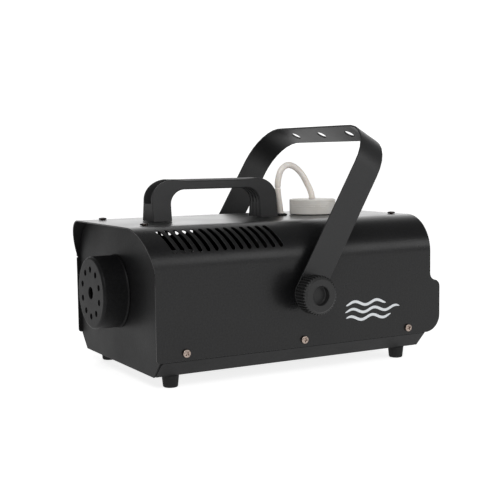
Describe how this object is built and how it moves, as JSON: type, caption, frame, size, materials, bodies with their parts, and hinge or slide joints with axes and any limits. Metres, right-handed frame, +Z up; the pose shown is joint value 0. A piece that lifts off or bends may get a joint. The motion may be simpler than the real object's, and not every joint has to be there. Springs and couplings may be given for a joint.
{
  "type": "fog machine",
  "caption": "Compact fog machine: hooded steel housing with slanted cooling slots, perforated round nozzle, carry handle, tilting yoke with knurled knobs, capped tank and hose.",
  "frame": {"origin": "on the surface that the feet stand on, at the middle of the outline across and along", "axes": "+Z up, the nozzle blows towards -Y, X across; +X is the side on the right when looking along +Y"},
  "size_m": [0.2616, 0.3414, 0.2396],
  "materials": {
    "painted_steel": "fine satin powder coat, near black",
    "handle_plastic": "fine moulded texture, near black",
    "knob_plastic": "moulded, near black, slight sheen",
    "black_rubber": "matt rubber",
    "zinc_steel": "zinc plated",
    "screw_nickel": "warm nickel plating, polished",
    "screw_black": "black oxide",
    "brass": "turned brass",
    "cast_alloy": "cast and machined",
    "milky_plastic": "translucent natural polyethylene",
    "hose_silicone": "translucent silicone hose, slightly amber",
    "socket_plastic": "black nylon",
    "rocker_red": "glossy translucent red",
    "board_green": "solder mask",
    "component_plastic": "component body"
  },
  "bodies": {
    "housing": {"housing_cover": "painted_steel", "base_pan": "painted_steel", "front_panel": "painted_steel", "rear_panel": "painted_steel", "nozzle_cover": "painted_steel", "carry_handle": "handle_plastic", "yoke_spacer_right": "black_rubber", "yoke_spacer_left": "black_rubber", "hose_grommet": "black_rubber", "foot_front_left": "black_rubber", "foot_front_right": "black_rubber", "foot_rear_left": "black_rubber", "foot_rear_right": "black_rubber", "heat_shield": "zinc_steel", "heater_bracket_front": "zinc_steel", "heater_bracket_rear": "zinc_steel", "pump_bracket": "zinc_steel", "knob_washer_right": "zinc_steel", "knob_washer_left": "zinc_steel", "pivot_nut_right": "zinc_steel", "pivot_nut_left": "zinc_steel", "side_screw_left_1": "screw_nickel", "side_screw_left_2": "screw_nickel", "side_screw_left_3": "screw_nickel", "side_screw_right_1": "screw_nickel", "side_screw_right_2": "screw_nickel", "side_screw_right_3": "screw_nickel", "top_screw_front_left": "screw_black", "top_screw_front_right": "screw_black", "top_screw_rear_left": "screw_black", "top_screw_rear_right": "screw_black", "nozzle_tip": "brass", "fluid_pipe": "brass", "pickup_filter": "brass", "standoff_front_left": "brass", "standoff_front_right": "brass", "standoff_rear_left": "brass", "standoff_rear_right": "brass", "heater_block": "cast_alloy", "thermostat": "cast_alloy", "fluid_pump": "cast_alloy", "fluid_tank": "milky_plastic", "fluid_hose": "hose_silicone", "mains_inlet": "socket_plastic", "switch_frame": "socket_plastic", "fuse_holder": "socket_plastic", "remote_socket": "socket_plastic", "control_board": "board_green", "board_transformer": "component_plastic", "terminal_block": "component_plastic"},
    "yoke": {"tilt_yoke": "painted_steel"},
    "knob_right": {"clamp_knob_right": "knob_plastic", "knob_stud_right": "zinc_steel"},
    "knob_left": {"clamp_knob_left": "knob_plastic", "knob_stud_left": "zinc_steel"},
    "tank_cap": {"tank_cap": "milky_plastic"},
    "rocker": {"power_rocker": "rocker_red"},
    "fuse_cap": {"fuse_cap": "socket_plastic"}
  },
  "joints": [
    {"name": "yoke_tilt", "type": "hinge", "parent": "housing", "child": "yoke", "pos_m": [0, 0.0052, 0.08], "axis": [1, 0, 0], "range_deg": [-40, 88]},
    {"name": "knob_right_turn", "type": "hinge", "parent": "housing", "child": "knob_right", "pos_m": [0.12, 0.0052, 0.08], "axis": [1, 0, 0], "continuous": true},
    {"name": "knob_left_turn", "type": "hinge", "parent": "housing", "child": "knob_left", "pos_m": [-0.12, 0.0052, 0.08], "axis": [1, 0, 0], "continuous": true},
    {"name": "cap_turn", "type": "hinge", "parent": "housing", "child": "tank_cap", "pos_m": [0, 0.0803, 0.155], "axis": [0, 0, 1], "continuous": true},
    {"name": "rocker_press", "type": "hinge", "parent": "housing", "child": "rocker", "pos_m": [-0.008, 0.1511, 0.052], "axis": [1, 0, 0], "range_deg": [-16, 0]},
    {"name": "fuse_cap_turn", "type": "hinge", "parent": "housing", "child": "fuse_cap", "pos_m": [0.028, 0.158, 0.052], "axis": [0, 1, 0], "range_deg": [0, 90]}
  ]
}
